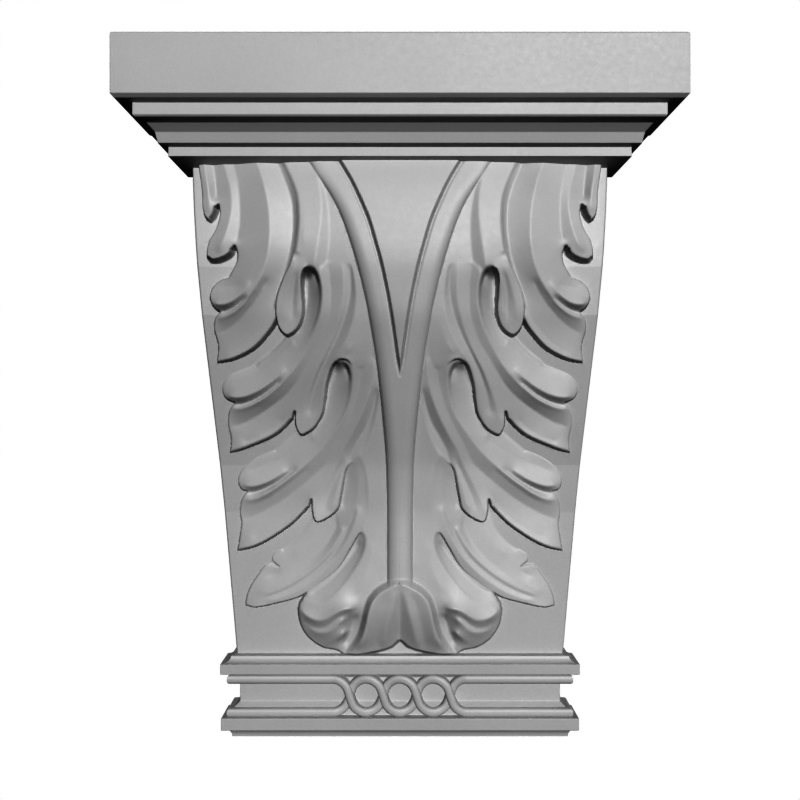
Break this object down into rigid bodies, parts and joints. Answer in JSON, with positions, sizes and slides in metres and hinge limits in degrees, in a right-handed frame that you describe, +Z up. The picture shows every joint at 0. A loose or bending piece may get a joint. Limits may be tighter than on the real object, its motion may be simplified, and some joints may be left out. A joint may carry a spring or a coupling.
{
  "type": "carved bracket",
  "caption": "Wall bracket in stone with a stepped cap, a tapering panel carved with mirrored acanthus leaves and a foot moulding with a plaited band.",
  "frame": {"origin": "on the flat back, on the centre line, half way up the height", "axes": "+Z up, +Y into the wall and square to the flat back, +X to the right when looking at the front"},
  "size_m": [0.235, 0.0574, 0.3],
  "materials": {
    "carved_stone": "finely rubbed pale grey stone, slightly satin"
  },
  "bodies": {
    "root": {"carved_bracket": "carved_stone"}
  },
  "joints": []
}
